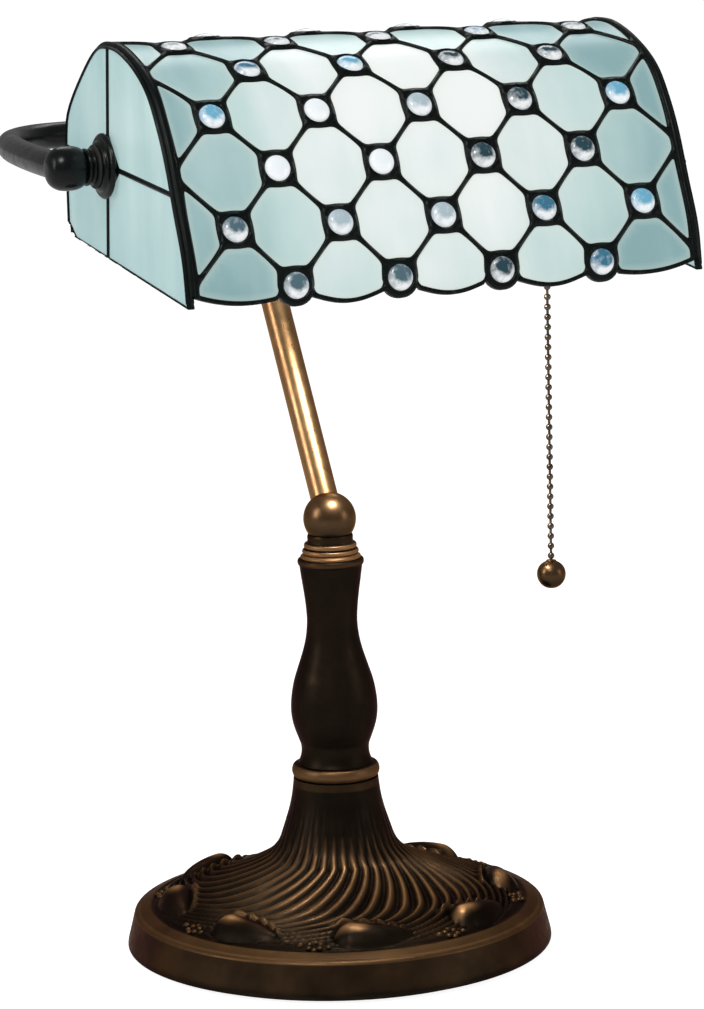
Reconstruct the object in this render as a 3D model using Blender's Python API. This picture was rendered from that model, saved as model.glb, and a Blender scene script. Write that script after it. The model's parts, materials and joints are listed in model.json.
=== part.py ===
"""Banker desk lamp: swirled round base, turned column, leaning stem, tube yoke and a leaded-glass shade.

Metres, +Z up. The origin is the centre of the felt that the lamp stands on. The shade's long side runs along X,
its open front faces -Y, and "left" is -X. Everything on the shade is measured from the pivot axis, and each
moving piece hangs from an empty that stands on its joint.
"""
import math

import bmesh
import bpy
from mathutils import Vector, geometry

MM = 0.001
GAP = 0.3 * MM                      # clearance left between two pieces that touch

# Driving dimensions
PODS = 8                            # leaf-shaped swellings round the base
FLUTES = 24                         # coarse flutes; the fine ones belong to the finished surface
BALL_CENTRE = Vector((0, 0, 203.8 * MM))
BALL_RADIUS = 12.3 * MM
ROD_RADIUS = 5.0 * MM               # threaded pipe through the base and the column
ROD_BORE = 3.4 * MM
STEM_RADIUS = 6.5 * MM
HUB_CENTRE = Vector((0, 110 * MM, 379 * MM))
YOKE_RADIUS = 6.2 * MM
PIVOT = Vector((0, -48 * MM, 378.5 * MM))
SHADE_HALF = 118 * MM               # half the length of the wrapped glass
PANEL_THICKNESS = 3.4 * MM          # lead frame of an end panel
GLASS_THICKNESS = 3.0 * MM
LEAD_HEIGHT = 1.2 * MM              # solder standing proud of the glass
SHADE_TILT = math.radians(4.8)      # the shade rests with its front dipped by this much
CELL = 48 * MM                      # spacing of the jewels along the shade
ROW = 25.5 * MM                     # spacing of the jewel rows round the shade
FIRST_ROW = 7 * MM                  # first jewel row above the front edge
BEZEL_RADIUS = 9 * MM
LEAD_WIDTH = 2.8 * MM
BORDER_WIDTH = 5.5 * MM
NIPPLE_RADIUS = 4.8 * MM
NIPPLE_BORE = 3.2 * MM
SOCKET_RADIUS = 16.5 * MM
CHAIN_X = 90.5 * MM
CHAIN_RADIUS = 1.6 * MM
PULL_BALL_Z = 176.6 * MM
PULL_BALL_RADIUS = 6.7 * MM

FINISHES = {                        # colour, metallic, roughness
    "dark_bronze": ((0.045, 0.028, 0.018), 0.85, 0.42),
    "copper_bronze": ((0.42, 0.25, 0.14), 0.9, 0.33),
    "black_bronze": ((0.016, 0.019, 0.017), 0.6, 0.25),
    "lead": ((0.012, 0.017, 0.016), 0.5, 0.4),
    "aqua_glass": ((0.62, 0.78, 0.78), 0.0, 0.15),
    "brass": ((0.62, 0.45, 0.2), 1.0, 0.3),
    "steel": ((0.5, 0.5, 0.5), 1.0, 0.4),
    "cast_iron": ((0.1, 0.1, 0.1), 0.7, 0.7),
    "felt": ((0.012, 0.014, 0.013), 0.0, 1.0),
    "rubber": ((0.015, 0.015, 0.015), 0.0, 0.7),
    "phenolic": ((0.03, 0.02, 0.015), 0.0, 0.5),
    "fibre": ((0.3, 0.2, 0.12), 0.0, 0.9),
    "bulb_glass": ((0.95, 0.93, 0.86), 0.0, 0.2),
}

for old in list(bpy.data.objects):
    bpy.data.objects.remove(old, do_unlink=True)


# ---------------------------------------------------------------------------------------------- helpers
def finish(piece, name):
    """Give a piece its own material."""
    colour, metallic, roughness = FINISHES[name]
    made = bpy.data.materials.new(f"{piece.name}_{name}")
    made.use_nodes = True
    shader = made.node_tree.nodes["Principled BSDF"]
    shader.inputs["Base Color"].default_value = (*colour, 1)
    shader.inputs["Metallic"].default_value = metallic
    shader.inputs["Roughness"].default_value = roughness
    made.diffuse_color = (*colour, 1)
    piece.data.materials.append(made)


def empty(name, at, parent=None):
    """An empty on a joint's axis, placed at a world position."""
    made = bpy.data.objects.new(name, None)
    bpy.context.collection.objects.link(made)
    made.parent = parent
    made.location = Vector(at) - (world_of(parent) if parent else Vector())
    return made


def world_of(thing):
    """World position of an unrotated empty."""
    place = Vector(thing.location)
    while thing.parent:
        thing = thing.parent
        place += thing.location
    return place


def piece(name, bm, look, parent=None, at=(0, 0, 0), turn=(0, 0, 0), smooth=True):
    """Make one node from a bmesh, with its origin at a world position."""
    bmesh.ops.recalc_face_normals(bm, faces=bm.faces)
    mesh = bpy.data.meshes.new(name)
    bm.to_mesh(mesh)
    bm.free()
    if smooth:
        mesh.shade_smooth()
        mesh.set_sharp_from_angle(angle=math.radians(35))
    made = bpy.data.objects.new(name, mesh)
    bpy.context.collection.objects.link(made)
    made.parent = parent
    made.location = Vector(at) - (world_of(parent) if parent else Vector())
    made.rotation_euler = turn
    finish(made, look)
    return made


def skin(bm, rings, close_loop):
    """Join rings of vertices with quads; a ring of one vertex is a pole."""
    pairs = list(zip(rings, rings[1:]))
    if close_loop:
        pairs.append((rings[-1], rings[0]))
    for a, b in pairs:
        count = max(len(a), len(b))
        for i in range(count):
            j = (i + 1) % count
            if len(a) == 1:
                bm.faces.new((a[0], b[j], b[i]))
            elif len(b) == 1:
                bm.faces.new((a[i], a[j], b[0]))
            else:
                bm.faces.new((a[i], a[j], b[j], b[i]))


def turned(outline, segments=16, sides=None, relief=None):
    """Solid of revolution about Z from an outline of (radius, height) in millimetres.

    An outline that starts and ends on the axis is a plain solid; any other is closed round a bore. Where the
    number of sides is given, points at or beyond a radius of 6.5 mm are put on that polygon, as on a nut.
    The relief gives a height to add at each (radius, angle).
    """
    bm = bmesh.new()
    rings = []
    for radius, height in outline:
        if radius == 0:
            rings.append([bm.verts.new((0, 0, height * MM))])
            continue
        ring = []
        for k in range(segments):
            angle = math.tau * k / segments
            reach = radius
            if sides and radius >= 6.5:
                part = math.pi / sides
                reach = radius / math.cos((angle + part) % (2 * part) - part)
            lift = relief(radius, angle) if relief else 0
            ring.append(bm.verts.new((reach * math.cos(angle) * MM, reach * math.sin(angle) * MM,
                                      (height + lift) * MM)))
        rings.append(ring)
    skin(bm, rings, close_loop=outline[0][0] > 0)
    return bm


def sleeve(inner, outer, bottom, top, segments=16, sides=None):
    """Plain ring from its radii and heights, in millimetres."""
    return turned([(outer, bottom), (outer, top), (inner, top), (inner, bottom)], segments, sides)


def ball(radius, segments=16):
    """Sphere, in millimetres."""
    steps = segments // 2
    return turned([(radius * math.sin(math.pi * k / steps) if 0 < k < steps else 0,
                    -radius * math.cos(math.pi * k / steps)) for k in range(steps + 1)], segments)


def smooth_curve(points, steps):
    """Points on a Catmull-Rom curve through the given points."""
    ends = [2 * points[0] - points[1], *points, 2 * points[-1] - points[-2]]
    found = []
    for a, b, c, d in zip(ends, ends[1:], ends[2:], ends[3:]):
        for k in range(steps):
            t = k / steps
            found.append(0.5 * (2 * b + (c - a) * t + (2 * a - 5 * b + 4 * c - d) * t ** 2
                                + (3 * b - a - 3 * c + d) * t ** 3))
    return found + [points[-1]]


def pipe(points, outer, inner, segments=12):
    """Open-ended pipe along a path, in metres."""
    bm = bmesh.new()
    shells = {}
    for radius in (outer, inner):
        side = Vector((0, 0, 1))
        rings = []
        for k, point in enumerate(points):
            ahead = (points[min(k + 1, len(points) - 1)] - points[max(k - 1, 0)]).normalized()
            side = (side - ahead * side.dot(ahead)).normalized()
            cross = ahead.cross(side)
            rings.append([bm.verts.new(point + radius * (math.cos(math.tau * i / segments) * side
                                                         + math.sin(math.tau * i / segments) * cross))
                          for i in range(segments)])
        shells[radius] = rings
    skin(bm, shells[outer] + shells[inner][::-1], close_loop=True)
    return bm


def subtract(target, name, bm, at, turn=(0, 0, 0)):
    """Cut a closed shape, placed in the world, out of a piece."""
    tool = piece(name, bm, "steel", at=at, turn=turn)
    tool.hide_render = True
    tool.display_type = "WIRE"
    cut = target.modifiers.new(name, "BOOLEAN")
    cut.operation = "DIFFERENCE"
    cut.solver = "EXACT"
    cut.object = tool


def unite(target, name, bm, at, turn=(0, 0, 0)):
    """Join a closed shape, placed in the world, to a piece."""
    subtract(target, name, bm, at, turn)
    target.modifiers[name].operation = "UNION"


def aim(direction):
    """Rotation that lays a shape's +Z along a direction."""
    return Vector(direction).to_track_quat("Z", "Y").to_euler()


# ------------------------------------------------------------------------------------------------ stand
def base_relief(radius, angle):
    """Height in millimetres that the pods and the swirling flutes add to the top of the base."""
    turn = angle + math.radians(0.75) * (radius - 33)   # the flutes lean clockwise on their way out
    fade = max(0.0, min(1.0, (radius - 20) / 8)) * max(0.0, min(1.0, (82 - radius) / 8))
    flutes = 0.9 * fade * math.cos(FLUTES * turn)
    pod_angle = (PODS * (angle - math.radians(33)) / math.tau + 0.5) % 1 - 0.5
    pod = max(0.0, 1 - (pod_angle / 0.38) ** 2) * max(0.0, 1 - ((radius - 77.5) / 9.5) ** 2)
    return flutes + 6.2 * pod if 20 < radius < 87 else 0


def build_base():
    piece("base_felt", turned([(0, 0), (94, 0), (94, 1.7), (0, 1.7)], 32), "felt")
    outline = [(100, 2.0), (100, 4.5), (96.4, 18), (95.2, 18.9), (88, 21.6), (83, 23.1), (77.5, 24.8),
               (72, 26.6), (66, 28.4), (56, 32), (46, 36.3), (38, 40.5), (31, 45.5), (27, 51.5),
               (24, 60.5), (21.4, 71), (19.9, 81),
               (5.4, 81), (5.4, 60), (14, 60), (22, 40), (38, 27), (60, 18), (91, 14.2), (91, 2.0)]
    casting = piece("base_casting", turned(outline, 48, relief=base_relief), "dark_bronze")
    subtract(casting, "cord_hole", turned([(0, 85), (4.8, 85), (4.8, 110), (0, 110)], 16),
             (0, 0, 8.5 * MM), (math.radians(-90), 0, 0))
    weight = piece("base_weight", sleeve(16, 90.6, 2.0, 8.0, 32), "cast_iron")
    slot = bmesh.new()
    bmesh.ops.create_cube(slot, size=1)
    bmesh.ops.scale(slot, vec=(11 * MM, 90 * MM, 30 * MM), verts=slot.verts)
    subtract(weight, "cord_slot", slot, (0, 57 * MM, 10 * MM))
    piece("tie_rod", sleeve(ROD_BORE / MM, ROD_RADIUS / MM, 30, 198, 12), "steel")
    piece("base_washer", sleeve(5.3, 11, 58.2, 59.7), "steel")
    piece("base_nut", sleeve(5.3, 8, 51.8, 57.9, 12, sides=6), "brass")
    piece("cord_bushing", turned([(4.4, 91.4), (4.4, 100.4), (5.8, 100.4), (5.8, 102), (3.0, 102),
                                  (3.0, 91.4)], 16), "rubber", at=(0, 0, 8.5 * MM),
          turn=(math.radians(-90), 0, 0))


def build_column():
    ring = [(18.6, 81.3), (19.9, 82.2), (20.6, 84.5), (19.9, 86.7), (18.6, 87.6), (5.4, 87.6), (5.4, 81.3)]
    piece("base_collar", turned(ring, 24), "copper_bronze")
    outline = [(17.9, 87.9), (16.2, 92), (15.9, 95.5), (17.1, 99), (18.7, 104), (19.9, 109), (20.3, 114),
               (19.8, 121), (18.5, 128), (16.2, 134.5), (14, 141.5), (12.4, 148), (11.8, 154.5), (12, 161),
               (12.9, 169), (14, 178), (14.7, 182.4), (15.4, 183.4), (15.3, 184.8), (14.6, 185.3),
               (5.4, 185.3), (5.4, 87.9)]
    piece("column", turned(outline, 24), "dark_bronze")
    seat = [(r, BALL_CENTRE.z / MM - math.sqrt(12.7 ** 2 - r ** 2)) for r in (10.3, 8, 5.4)]
    outline = [(13.9, 185.6), (13.9, 186.8), (12.6, 187.7), (13.1, 188.7), (12.9, 189.8), (11.5, 190.5),
               (12, 191.5), (11.7, 192.6), (10.6, 193.3), (10.5, seat[0][1])] + seat + [(5.4, 185.6)]
    piece("neck_collar", turned(outline, 24), "dark_bronze")


# ------------------------------------------------------------------------------------- head that swivels
def build_stem(head):
    lean = (HUB_CENTRE - BALL_CENTRE).normalized()
    knuckle = piece("knuckle_ball", ball(BALL_RADIUS / MM, 20), "copper_bronze", head, BALL_CENTRE)
    subtract(knuckle, "rod_socket", turned([(0, -20), (5.4, -20), (5.4, -4), (0, -4)]), BALL_CENTRE)
    subtract(knuckle, "stem_socket", turned([(0, 3), (6.8, 3), (6.8, 20), (0, 20)]), BALL_CENTRE, aim(lean))
    subtract(knuckle, "wire_passage", turned([(0, -6), (3, -6), (3, 6), (0, 6)], 8), BALL_CENTRE)
    subtract(knuckle, "screw_hole", turned([(0, 4), (1.8, 4), (1.8, 20), (0, 20)], 8),
             BALL_CENTRE - Vector((0, 0, 6 * MM)), aim((0, 1, 0)))
    piece("knuckle_set_screw", turned([(0, 5.7), (1.5, 5.7), (1.5, 11), (0, 11)], 8), "steel", head,
          BALL_CENTRE - Vector((0, 0, 6 * MM)), aim((0, 1, 0)))
    length = (HUB_CENTRE - BALL_CENTRE).length / MM
    piece("stem_tube", sleeve(5.2, STEM_RADIUS / MM, 3.4, length - 8), "copper_bronze", head,
          BALL_CENTRE, aim(lean))
    hub = piece("yoke_hub", turned([(0, -15), (8.6, -15), (9.6, -14), (9.6, 14), (8.6, 15), (0, 15)]),
                "black_bronze", head, HUB_CENTRE, aim((1, 0, 0)))
    unite(hub, "hub_boss", turned([(0, -20), (8.2, -20), (9, -19), (9, 0), (0, 0)]), HUB_CENTRE, aim(lean))
    subtract(hub, "stem_pocket", turned([(0, -30), (6.8, -30), (6.8, -7.7), (0, -7.7)]),
             HUB_CENTRE, aim(lean))
    subtract(hub, "tube_bore", turned([(0, -30), (6.5, -30), (6.5, 30), (0, 30)]), HUB_CENTRE, aim((1, 0, 0)))
    subtract(hub, "hub_screw_hole", turned([(0, 4), (1.8, 4), (1.8, 20), (0, 20)], 8),
             HUB_CENTRE, aim((0, 1, 0)))
    piece("hub_set_screw", turned([(0, 6.6), (1.5, 6.6), (1.5, 9.4), (0, 9.4)], 8), "steel", head,
          HUB_CENTRE, aim((0, 1, 0)))


def build_yoke(head):
    """One bent tube: from the left pivot back, across behind the shade, and forward to the right pivot."""
    cap_x = 139.5 * MM
    half = [Vector((cap_x, PIVOT.y + 5.6 * MM, PIVOT.z)), Vector((139 * MM, -20 * MM, 378.6 * MM)),
            Vector((135 * MM, 20 * MM, 378.7 * MM)), Vector((128.5 * MM, 58 * MM, 378.8 * MM)),
            Vector((118 * MM, 85.5 * MM, 378.9 * MM)), Vector((100 * MM, 103.5 * MM, 379 * MM)),
            Vector((76 * MM, 110 * MM, 379 * MM))]
    mirrored = [Vector((-p.x, p.y, p.z)) for p in half]
    path = smooth_curve(half, 2) + smooth_curve(mirrored[::-1], 2)
    piece("yoke_tube", pipe(path, YOKE_RADIUS, 4.4 * MM), "black_bronze", head)


def build_pivot(head, shade, side, name):
    """The stack of pieces at one end of the shade; heights run outwards from the middle of the lamp."""
    outwards = aim((side, 0, 0))

    def stacked(title, bm, look, parent=head):
        return piece(f"{title}_{name}", bm, look, parent, PIVOT, outwards)

    cap = stacked("pivot_cap", turned([(0, 132.6), (7.4, 132.6), (8.8, 134), (9.6, 137), (9.7, 141),
                                       (8.9, 145), (6.6, 147.8), (3.4, 149), (0, 149.3)]), "black_bronze")
    subtract(cap, f"arm_pocket_{name}", turned([(0, 5.2), (6.9, 5.2), (6.9, 20), (0, 20)]),
             (side * 139.5 * MM, PIVOT.y, PIVOT.z), aim((-side * 0.5, 22, 0.8)))
    subtract(cap, f"nipple_pocket_{name}", turned([(0, 120), (5.1, 120), (5.1, 137.8), (0, 137.8)], 12),
             PIVOT, outwards)
    stacked("lock_ring", turned([(7.2, 128.0), (8.0, 128.8), (7.2, 130), (8.0, 131.3), (7.4, 132.3),
                                 (5.1, 132.3), (5.1, 128.0)]), "black_bronze")
    stacked("friction_washer", sleeve(5.1, 9.5, 126.7, 127.7), "fibre")
    rosette = [(14, 122.0), (14.2, 123), (13.4, 124.2), (11.6, 124.6), (10.8, 126), (9.8, 126.4),
               (5.1, 126.4), (5.1, 122.0)]
    stacked("rosette", turned(rosette, 24), "black_bronze", shade)
    stacked("inner_washer", sleeve(5.1, 9.5, 116.6, 117.7), "steel")
    stacked("inner_nut", sleeve(5.1, 7, 112.3, 116.3, 12, sides=6), "brass")
    inner_end = 104 if side > 0 else 108
    stacked("pivot_nipple", sleeve(NIPPLE_BORE / MM, NIPPLE_RADIUS / MM, inner_end, 137.5, 12), "steel")


def build_socket(head):
    """Pull-chain lampholder on the right-hand nipple, and its bulb; heights run towards +X."""
    along = aim((1, 0, 0))

    def on_axis(title, bm, look):
        return piece(title, bm, look, head, PIVOT, along)

    on_axis("socket_cap", turned([(16.9, 97.9), (16.9, 101), (15.4, 105.5), (11, 109.4), (9, 111.9),
                                  (5.1, 111.9), (5.1, 103), (13, 101), (14, 97.9)], 20), "brass")
    shell = on_axis("socket_shell", sleeve(15.7, SOCKET_RADIUS / MM, 60, 97.5, 20), "brass")
    over_chain = (CHAIN_X, PIVOT.y, PIVOT.z)
    subtract(shell, "chain_hole", turned([(0, -30), (2.6, -30), (2.6, -5), (0, -5)], 12), over_chain)
    on_axis("insulating_sleeve", sleeve(14.7, 15.4, 61, 80.6, 20), "fibre")
    body = on_axis("switch_body", turned([(0, 81), (15.2, 81), (15.2, 97), (0, 97)], 20), "phenolic")
    subtract(body, "switch_slot", turned([(0, -30), (2.6, -30), (2.6, -6), (0, -6)], 12), over_chain)
    on_axis("screw_shell", sleeve(13.6, 14.3, 57, 80.6, 20), "brass")
    on_axis("bulb_base", turned([(0, 79.6), (4.5, 79.6), (6, 77), (13.1, 75.6), (13.1, 54), (0, 54)], 20),
            "steel")
    outline = [(0, 53.7), (12.6, 53.7), (14, 46), (18, 37), (24, 27), (28.6, 15), (30, 3), (28.4, -9),
               (23, -19.5), (14, -26.8), (0, -29.5)]
    on_axis("bulb_glass", turned(outline, 20), "bulb_glass")
    bell = [(2.1, -16.9), (3.4, -16.9), (3.4, -20), (3.0, -22), (3.3, -25), (4.8, -28.3), (5.0, -29),
            (4.0, -29), (2.6, -26)]
    piece("bell_mouth", turned(bell, 12), "brass", head, (CHAIN_X, PIVOT.y, PIVOT.z))


def build_chain(pull, link, chain):
    """Pull stub that slides in the bell mouth, swivel bead, and the hanging chain with its ball."""
    piece("pull_stub", turned([(0, 348), (1.6, 348), (1.6, 366), (0, 366)], 8), "brass", pull,
          (CHAIN_X, PIVOT.y, 0))
    piece("swivel_bead", ball(1.4, 8), "brass", link, (CHAIN_X, PIVOT.y, 346.3 * MM))
    top, bottom = 344.6 * MM, PULL_BALL_Z + PULL_BALL_RADIUS + GAP
    curve = bpy.data.curves.new("pull_chain", "CURVE")
    curve.dimensions = "3D"
    curve.bevel_depth = CHAIN_RADIUS
    curve.bevel_resolution = 2
    curve.use_fill_caps = True
    count = 22
    spline = curve.splines.new("POLY")
    spline.points.add(count - 1)
    for k, point in enumerate(spline.points):
        point.co = (0, 0, (top + (bottom - top) * k / (count - 1)) - world_of(chain).z, 1)
    made = bpy.data.objects.new("pull_chain", curve)
    bpy.context.collection.objects.link(made)
    made.parent = chain
    finish(made, "brass")
    piece("pull_ball", ball(PULL_BALL_RADIUS / MM), "copper_bronze", chain,
          (CHAIN_X, PIVOT.y, PULL_BALL_Z))


# ------------------------------------------------------------------------------------------------ shade
def shade_outline():
    """Cross-section of the glass, from the front edge over the top to the back edge, as (y, z) in millimetres
    from the pivot: a long leaning front, a rounded shoulder, a slanting back and an upright tail."""
    points = [(-91.6, -53), (-88, -33), (-79.5, -13), (-71, 7), (-62.5, 21.5), (-52, 34.5), (-37, 44),
              (-18, 50.5), (-3, 52), (11, 50), (29, 38.5), (47, 23), (52.5, 11), (53.5, -12), (53.5, -34)]
    return smooth_curve([Vector(p) for p in points], 8)


def facets():
    """The outline as flat facets of half a jewel row: their corners, outward normals and arc lengths."""
    fine = shade_outline()
    lengths = [0.0]
    for a, b in zip(fine, fine[1:]):
        lengths.append(lengths[-1] + (b - a).length)
    stations = [FIRST_ROW / MM + ROW / MM / 2 * k for k in range(40)]
    stations = [0.0] + [s for s in stations if s < lengths[-1] - 3] + [lengths[-1]]
    corners = []
    for s in stations:
        k = max(i for i in range(len(fine) - 1) if lengths[i] <= s)
        corners.append(fine[k].lerp(fine[k + 1], (s - lengths[k]) / (lengths[k + 1] - lengths[k])))
    normals = []
    for k in range(len(corners)):
        before, after = corners[max(k - 1, 0):k + 1], corners[max(k, 1):k + 2]
        tangents = [(b - a).normalized() for a, b in zip(before, after)]
        if k in (0, len(corners) - 1):
            tangents = [(corners[1] - corners[0]).normalized() if k == 0
                        else (corners[-1] - corners[-2]).normalized()]
        middle = sum(tangents, Vector((0, 0))).normalized()
        stretch = 1 / middle.dot(tangents[0])          # keeps the wall's thickness at a corner
        normals.append(Vector((-middle.y, middle.x)) * stretch)
    return stations, corners, normals


STATIONS, CORNERS, NORMALS = facets()


def on_shade(s, height):
    """Point (y, z) at an arc length and a height above the glass, all in millimetres."""
    k = min(max(sum(station <= s for station in STATIONS) - 1, 0), len(STATIONS) - 2)
    t = (s - STATIONS[k]) / (STATIONS[k + 1] - STATIONS[k])
    return CORNERS[k].lerp(CORNERS[k + 1], t) + NORMALS[k].lerp(NORMALS[k + 1], t) * height


def inside(point, polygon):
    """Whether a point lies in a polygon."""
    hit = False
    for a, b in zip(polygon, polygon[1:] + polygon[:1]):
        if (a.y > point.y) != (b.y > point.y) and point.x < (b.x - a.x) * (point.y - a.y) / (b.y - a.y) + a.x:
            hit = not hit
    return hit


def pierced(border, holes, low, high, lines=()):
    """Flat plate with holes between two heights, as triangles of (u, v, height) that never cross a line."""
    loops = [border, *holes]
    points, edges = [], []
    for loop in loops:
        first = len(points)
        points += loop
        edges += [(first + k, first + (k + 1) % len(loop)) for k in range(len(loop))]
    for a, b in lines:
        edges.append((len(points), len(points) + 1))
        points += [a, b]
    verts, _, faces, *_ = geometry.delaunay_2d_cdt(points, edges, [], 0, 1e-4)
    kept = []
    for face in faces:
        middle = sum((verts[k] for k in face), Vector((0, 0))) / len(face)
        if inside(middle, border) and not any(inside(middle, hole) for hole in holes):
            kept.append(face)
    bm = bmesh.new()
    layers = [{k: bm.verts.new((*verts[k], h)) for face in kept for k in face} for h in (low, high)]
    rim = {}
    for face in kept:
        bm.faces.new([layers[1][k] for k in face])
        bm.faces.new([layers[0][k] for k in reversed(face)])
        for a, b in zip(face, face[1:] + face[:1]):
            rim[(a, b)] = True
    for a, b in rim:
        if (b, a) not in rim:
            bm.faces.new((layers[0][a], layers[0][b], layers[1][b], layers[1][a]))
    return bm


def jewel_places():
    """(x, s) of every jewel: rows of four and rows of five by turns."""
    rows = []
    s = FIRST_ROW / MM
    while s < STATIONS[-1] - 4:
        count = 4 if len(rows) % 2 == 0 else 5
        rows.append([Vector(((k - (count - 1) / 2) * CELL / MM, s)) for k in range(count)])
        s += ROW / MM
    return rows


def glass_cells():
    """Openings of the lead net: each is a lozenge whose corners are cut off by the bezels."""
    rows = jewel_places()
    half_x, row = CELL / MM / 2, ROW / MM
    limit_x = SHADE_HALF / MM - BORDER_WIDTH / MM
    low, high = BORDER_WIDTH / MM * 0.55, STATIONS[-1] - BORDER_WIDTH / MM * 0.55
    across = Vector((half_x, row)).normalized()
    lead = LEAD_WIDTH / MM / 2
    bezel = BEZEL_RADIUS / MM
    cells = []
    for index in range(-1, len(rows) + 1):
        s = FIRST_ROW / MM + index * row
        count = 5 if index % 2 == 0 else 6
        for k in range(count):
            middle = Vector(((k - (count - 1) / 2) * CELL / MM, s))
            reach = row - lead / across.x
            side = half_x - lead / across.y
            loop = [Vector((0, -reach)), Vector((side, 0)), Vector((0, reach)), Vector((-side, 0))]
            loop = [middle + p for p in loop]
            for away in (Vector((0, 1)), Vector((0, -1))):
                loop = clip(loop, middle + away * (row - bezel), -away)
            for away in (Vector((1, 0)), Vector((-1, 0))):
                loop = clip(loop, middle + away * (half_x - bezel), -away)
            loop = clip(loop, Vector((limit_x, 0)), Vector((-1, 0)))
            loop = clip(loop, Vector((-limit_x, 0)), Vector((1, 0)))
            loop = clip(loop, Vector((0, low)), Vector((0, 1)))
            loop = clip(loop, Vector((0, high)), Vector((0, -1)))
            if len(loop) > 2 and area(loop) > 25:
                cells.append(loop)
    return cells


def clip(loop, point, keep):
    """Cut a polygon along the line through a point, and keep the side that the normal points to."""
    found = []
    for a, b in zip(loop, loop[1:] + loop[:1]):
        da, db = (a - point).dot(keep), (b - point).dot(keep)
        if da >= 0:
            found.append(a)
        if (da > 0) != (db > 0) and abs(da - db) > 1e-9:
            found.append(a.lerp(b, da / (da - db)))
    return found


def area(loop):
    """Area of a polygon."""
    return abs(sum(a.cross(b) for a, b in zip(loop, loop[1:] + loop[:1]))) / 2


def build_wrap(shade):
    """The curved glass, plain here, and the net of solder that lies on it."""
    bm = bmesh.new()
    rings = []
    last = len(STATIONS) - 1
    for x in (-SHADE_HALF, SHADE_HALF):
        loop = [CORNERS[k] for k in range(last + 1)]
        loop += [CORNERS[k] - NORMALS[k] * GLASS_THICKNESS / MM for k in range(last, -1, -1)]
        rings.append([bm.verts.new((x, p.x * MM, p.y * MM)) for p in loop])
    count = len(rings[0])
    for k in range(count):
        bm.faces.new((rings[0][k], rings[0][(k + 1) % count], rings[1][(k + 1) % count], rings[1][k]))
    for ring in rings:
        for k in range(last):
            bm.faces.new((ring[k], ring[k + 1], ring[count - 2 - k], ring[count - 1 - k]))
    piece("wrap_glass", bm, "aqua_glass", shade, PIVOT)

    half = SHADE_HALF / MM
    border = [Vector(p) for p in ((-half, 0), (half, 0), (half, STATIONS[-1]), (-half, STATIONS[-1]))]
    lines = [(Vector((-half, s)), Vector((half, s))) for s in STATIONS[1:-1]]
    bm = pierced(border, glass_cells(), GAP / MM, (GAP + LEAD_HEIGHT) / MM, lines)
    for vert in bm.verts:
        y, z = on_shade(vert.co.y, vert.co.z)
        vert.co = Vector((vert.co.x, y, z)) * MM
    piece("lead_net", bm, "lead", shade, PIVOT)


def panel_loop(inset):
    """Edge of an end panel, moved inwards by a distance in millimetres."""
    loop = [CORNERS[k] - NORMALS[k] * inset for k in range(len(CORNERS))]
    front, back = Vector((-91.6, -53)), Vector((44, -36))
    along = (back - front).normalized()
    lift = Vector((-along.y, along.x))
    loop = clip(loop, front + lift * inset, lift)
    tail = Vector((53.5, -29)) - back
    lift = Vector((-tail.y, tail.x)).normalized()
    return clip(loop, back + lift * inset, lift)


def panel_quarters(inset, lead, boss):
    """The four panes of an end panel, between its edge, its cross and its middle boss."""
    panes = {}
    level = Vector((math.cos(SHADE_TILT), math.sin(SHADE_TILT)))
    plumb = Vector((-level.y, level.x))
    for fore, y_side in (("front", -1), ("back", 1)):
        for high, z_side in (("upper", 1), ("lower", -1)):
            loop = panel_loop(inset)
            loop = clip(loop, level * y_side * lead, level * y_side)
            loop = clip(loop, plumb * z_side * lead, plumb * z_side)
            corner = (level * y_side + plumb * z_side).normalized()
            panes[f"{fore}_{high}"] = clip(loop, corner * boss, corner)
    return panes


def circle(radius, count=16):
    """Round outline in millimetres."""
    return [Vector((radius * math.cos(math.tau * k / count), radius * math.sin(math.tau * k / count)))
            for k in range(count)]


def stand_up(bm, side):
    """Turn a flat plate of (y, z, depth) in millimetres into an end panel in metres."""
    for vert in bm.verts:
        vert.co = Vector((side * vert.co.z, vert.co.x, vert.co.y)) * MM


def build_end(shade, side, name):
    start = (SHADE_HALF + GAP) / MM
    thick = PANEL_THICKNESS / MM
    lead = LEAD_WIDTH / MM / 2
    bm = pierced(panel_loop(0), [*panel_quarters(3.0, lead, 12).values(), circle(5.1)], start, start + thick)
    stand_up(bm, side)
    piece(f"end_frame_{name}", bm, "lead", shade, PIVOT, smooth=False)
    for place, loop in panel_quarters(3.0 + GAP / MM, lead + GAP / MM, 12 + GAP / MM).items():
        bm = pierced(loop, [], start + 0.4, start + thick - 0.4)
        stand_up(bm, side)
        piece(f"end_glass_{name}_{place}", bm, "aqua_glass", shade, PIVOT, smooth=False)


build_base()
build_column()
head_axis = empty("stem_swivel_axis", BALL_CENTRE)
shade_axis = empty("shade_tilt_axis", PIVOT, head_axis)
pull_axis = empty("pull_slide_axis", (CHAIN_X, PIVOT.y, 355 * MM), head_axis)
link_axis = empty("chain_swing_axis", (CHAIN_X, PIVOT.y, 346.3 * MM), pull_axis)
chain_axis = empty("chain_sway_axis", (CHAIN_X, PIVOT.y, 346.3 * MM), link_axis)
build_stem(head_axis)
build_yoke(head_axis)
build_socket(head_axis)
for left_or_right, title in ((-1, "left"), (1, "right")):
    build_pivot(head_axis, shade_axis, left_or_right, title)
    build_end(shade_axis, left_or_right, title)
build_wrap(shade_axis)
build_chain(pull_axis, link_axis, chain_axis)
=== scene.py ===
"""The looks of the banker desk lamp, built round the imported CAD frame.

Millimetres are used for outlines and turned into metres by MM. "Left" is -X. The shade's wrapped surface is
laid out flat, with x along the lamp and s as the arc length from its front edge, and is bent to its outline.
"""
import json
import math
import random

import bmesh
import bpy
from mathutils import Matrix, Vector, geometry


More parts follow.
